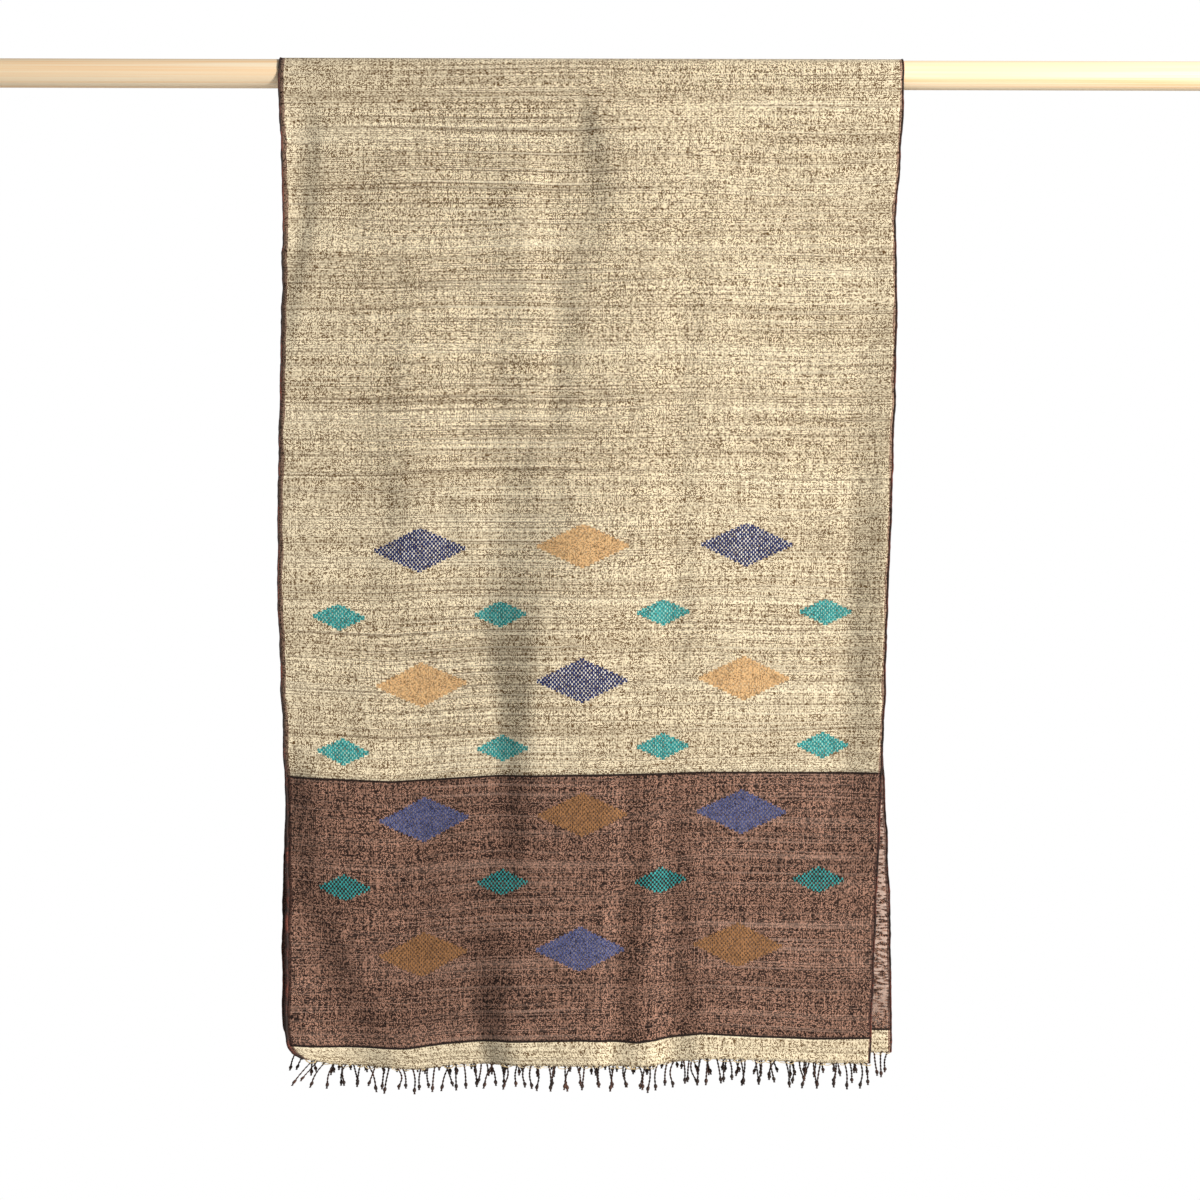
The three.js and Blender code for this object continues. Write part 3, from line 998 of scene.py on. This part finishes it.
class STOLE_OT_fringes(bpy.types.Operator):
    """Twist and knot the warp ends below each hem"""

    bl_idname = "stole.fringes"
    bl_label = "Fringes"

    def execute(self, context):
        size, colours = context.scene.stole_size, context.scene.stole_colour
        # The brown tone is partly painted glint along the dark strands.
        material = thread_material("dark twisted silk fringe", colour(colours.dark), tone("#5b3a2e"))
        template = strand_template(size)
        count = len(template.vertices)
        spacing = WIDTH / MM / size.strands
        for end, layer, hem, seed in (("front", FRONT, 0.0, 11), ("back", BACK, LENGTH, 23)):
            rng = Random(seed)
            bm = bmesh.new()
            for i in range(size.strands):
                bm.from_mesh(template)
                bm.verts.ensure_lookup_table()
                first_of_pair = i % 2 == 0
                if first_of_pair:
                    habit, shift = rng.choice(HABITS), rng.uniform(-0.3, 0.3)
                toward = 0.5 if first_of_pair else -0.5
                share = (i + 0.5 + shift + toward * rng.uniform(-0.3, 0.7)) / size.strands
                root = Vector(cloth_points(np.array([share]), np.array([hem]))[0])
                splay = layer["splay"][i] if i < len(layer["splay"]) else 0
                lean = (toward * habit * spacing * 0.8 + rng.gauss(0, 1.5) + splay) * MM
                forward = rng.gauss(0, 1.0) * MM
                bow = rng.gauss(0, 1.3) * MM
                stretch = rng.uniform(0.8, 1.1)
                turned = Matrix.Rotation(rng.uniform(0, math.tau), 3, "Z") @ Matrix.Diagonal((1, 1, stretch))
                for vert in bm.verts[-count:]:
                    part = -vert.co.z / size.strand_length
                    # It leans most where it leaves the hem.
                    sideways = lean * part * (1.3 - 0.3 * part) + bow * math.sin(math.pi * min(part, 1))
                    vert.co = root + turned @ vert.co + Vector((sideways, forward * part, SUNK))
            obj = add_object(f"{end}_fringe_strands", bm, material)
            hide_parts(f"{end}_fringe")
        bpy.data.meshes.remove(template)
        return {"FINISHED"}


LOOPS_MISSED = 0.35  # the share of the gaps between strands that have no loop
LOOP_RISE = 0.2 * MM


class STOLE_OT_hem_loops(bpy.types.Operator):
    """Leave the small pale loops of the last weft between the strands"""

    bl_idname = "stole.hem_loops"
    bl_label = "Hem loops"

    def execute(self, context):
        size = context.scene.stole_size
        material = thread_material("pale silk weft ends", tone("#c9b48c"), tone("#fff6e2"))
        for end, hem, seed in (("front", 0.0, 5), ("back", LENGTH, 6)):
            rng = Random(seed)
            bm = bmesh.new()
            for i in range(size.strands):
                if rng.random() < LOOPS_MISSED:
                    continue
                share = (i + rng.uniform(0.2, 0.8)) / size.strands
                root = Vector(cloth_points(np.array([share]), np.array([hem]))[0])
                radius = rng.uniform(2.0, 5.0) * MM
                made = bmesh.ops.create_circle(
                    bm,
                    cap_ends=True,
                    radius=rng.uniform(0.6, 0.85) * MM,
                    segments=6,
                    matrix=Matrix.Translation((-radius, 0, 0)),
                )
                start = len(bm.verts) - len(made["verts"])
                bmesh.ops.spin(
                    bm,
                    geom=list({face for vert in made["verts"] for face in vert.link_faces}),
                    cent=(0, 0, 0),
                    axis=(0, -1, 0),
                    angle=math.pi,
                    steps=7,
                )
                bm.verts.ensure_lookup_table()
                flatten = Matrix.Diagonal((1, 1, rng.uniform(0.3, 0.6), 1))
                tilt = Matrix.Rotation(rng.uniform(-0.3, 0.3), 4, "Y")
                place = Matrix.Translation(root + Vector((0, 0, LOOP_RISE)))
                bmesh.ops.transform(bm, matrix=place @ tilt @ flatten, verts=bm.verts[start:])
            bmesh.ops.recalc_face_normals(bm, faces=bm.faces[:])
            obj = add_object(f"{end}_hem_loops", bm, material)
        return {"FINISHED"}


# The wood's figure: length along the rod and width across it in millimetres, and detail.
WOOD_FIGURE = (
    (455, 2.38, 3),  # growth lines
    (286, 16.7, 2),  # broad warmer patches
    (3.85, 0.455, 1),  # pores
)
ROD_ROUNDING = 0.8 * MM  # of its sawn ends


class STOLE_OT_rod(bpy.types.Operator):
    """Turn the plain wood rod and ease its sawn ends"""

    bl_idname = "stole.rod"
    bl_label = "Rod"

    def execute(self, context):
        wood = colour(context.scene.stole_colour.wood)
        # Planed and waxed softwood: pale and even, with a soft gloss and fine darker lines along it.
        material, add = new_material("pale planed softwood, waxed")
        place = add("TexCoord").outputs["Object"]
        figure = []
        for length, width, detail in WOOD_FIGURE:
            scale = [1 / (size * MM) for size in (length, width, width)]
            stretched = add("Mapping", {"Vector": place, "Scale": scale})
            figure.append(add("TexNoise", {"Vector": stretched, "Scale": 1, "Detail": detail}))
        lines, patches, pores = figure
        late = add("MapRange", (lines, 0.42, 0.68))
        warm = add("MapRange", (patches, 0.35, 0.7))
        tint = add("Mix", (late, wood, tone("#fbcc96")), data_type="RGBA")
        surface = {
            "Base Color": add("Mix", (warm, tint, tone("#ffe5bf")), data_type="RGBA"),
            "Roughness": add("MapRange", (pores, 0, 1, 0.34, 0.5)),
            "Normal": add("Bump", {"Height": pores, "Strength": 0.15, "Distance": 0.2 * MM}),
        }
        add("OutputMaterial", {"Surface": add("BsdfPrincipled", surface)})
        bm = bmesh.new()
        lie = Matrix.Rotation(math.pi / 2, 4, "Y")
        bmesh.ops.create_cone(
            bm,
            cap_ends=True,
            segments=96,
            radius1=ROD_RADIUS,
            radius2=ROD_RADIUS,
            depth=ROD_HIGH.x - ROD_LOW.x,
            matrix=lie,
        )
        rims = [e for e in bm.edges if abs(e.verts[0].co.x - e.verts[1].co.x) < MM]
        bmesh.ops.bevel(
            bm,
            geom=rims,
            offset=ROD_ROUNDING,
            segments=3,
            profile=0.5,
            affect="EDGES",
            material=-1,
            clamp_overlap=True,
        )
        obj = add_object("rod_wood", bm, material)
        obj.data.set_sharp_from_angle(angle=math.radians(40))
        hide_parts("rod")
        return {"FINISHED"}


# ---- the stage ----

CAMERA_PLACE = (0.009, -2.2, -0.475)  # straight in front, at the height of the cloth's middle
CAMERA_LENS = 73
CAMERA_ROLL = math.radians(-0.15)
FLOOR_DOWN = 1.6
FLOOR_RADIUS = 1.5
SURROUNDINGS = 0.24  # how bright the white surroundings light the cloth
AIM = Vector((0, 0, -0.42))  # of the lights
# Each light's place, size, power and colour.
LIGHTS = (
    ("key", (3.5, -2.7, 0.75), 0.8, 312, "#fff8ee"),
    ("back", (-2.3, 2.4, 0.5), 1.2, 110, "#fffaf4"),
)


class STOLE_OT_stage(bpy.types.Operator):
    """Set the camera, the soft lights, the pale floor and the white surroundings"""

    bl_idname = "stole.stage"
    bl_label = "Stage"

    def execute(self, context):
        scene = context.scene
        camera = bpy.data.cameras.new("camera")
        camera.lens = CAMERA_LENS
        view = bpy.data.objects.new("camera", camera)
        view.location = CAMERA_PLACE
        view.rotation_euler = (math.pi / 2, CAMERA_ROLL, 0)
        scene.collection.objects.link(view)
        scene.camera = view

        for name, place, width, power, tint in LIGHTS:
            lamp = bpy.data.lights.new(name, "AREA")
            lamp.size = width
            lamp.energy = power
            lamp.color = hex_linear(tint)
            holder = bpy.data.objects.new(name, lamp)
            holder.location = place
            holder.rotation_euler = (AIM - Vector(place)).to_track_quat("-Z", "Y").to_euler()
            scene.collection.objects.link(holder)

        bm = bmesh.new()
        down = Matrix.Translation((0, 0, -FLOOR_DOWN))
        bmesh.ops.create_circle(bm, cap_ends=True, segments=96, radius=FLOOR_RADIUS, matrix=down)
        mesh = bpy.data.meshes.new("floor")
        bm.to_mesh(mesh)
        bm.free()
        # Matt paint: an even pale grey that mirrors nothing.
        material, add = new_material("pale matt studio floor")
        surface = {"Base Color": tone("#ededec"), "Roughness": 0.8}
        add("OutputMaterial", {"Surface": add("BsdfPrincipled", surface)})
        mesh.materials.append(material)
        floor = bpy.data.objects.new("floor", mesh)
        scene.collection.objects.link(floor)

        world = bpy.data.worlds.new("white surroundings")
        world.use_nodes = True
        tree = world.node_tree
        tree.nodes.clear()
        # Plain white behind the cloth, and softer where it lights the cloth.
        seen = node(tree, "LightPath").outputs["Is Camera Ray"]
        strength = node(tree, "MapRange", (seen, 0, 1, SURROUNDINGS, 1.0))
        sky = node(tree, "Background", (tone("#ffffff"), strength))
        node(tree, "OutputWorld", {"Surface": sky})
        scene.world = world
        scene.view_settings.view_transform = "Standard"
        return {"FINISHED"}


# ---- the panel ----


PIECES = (
    STOLE_OT_stage,
    STOLE_OT_rod,
    STOLE_OT_field,
    STOLE_OT_bands,
    STOLE_OT_headings,
    STOLE_OT_selvedges,
    STOLE_OT_fringes,
    STOLE_OT_hem_loops,
)


class STOLE_PT_sidebar(bpy.types.Panel):
    """The stole's sizes, colours and pieces"""

    bl_label = "Silk stole"
    bl_idname = "STOLE_PT_sidebar"
    bl_space_type = "VIEW_3D"
    bl_region_type = "UI"
    bl_category = "Stole"

    def draw(self, context):
        for group in (context.scene.stole_size, context.scene.stole_colour):
            for name in group.__annotations__:
                self.layout.prop(group, name)
        for piece in PIECES:
            self.layout.operator(piece.bl_idname)


CLASSES = (StoleSize, StoleColour, *PIECES, STOLE_PT_sidebar)


def register():
    for cls in CLASSES:
        bpy.utils.register_class(cls)
    bpy.types.Scene.stole_size = PointerProperty(type=StoleSize)
    bpy.types.Scene.stole_colour = PointerProperty(type=StoleColour)


def unregister():
    del bpy.types.Scene.stole_colour
    del bpy.types.Scene.stole_size
    for cls in reversed(CLASSES):
        bpy.utils.unregister_class(cls)


def main():
    register()
    for piece in PIECES:
        group, name = piece.bl_idname.split(".")
        getattr(getattr(bpy.ops, group), name)()


if __name__ == "__main__":
    main()
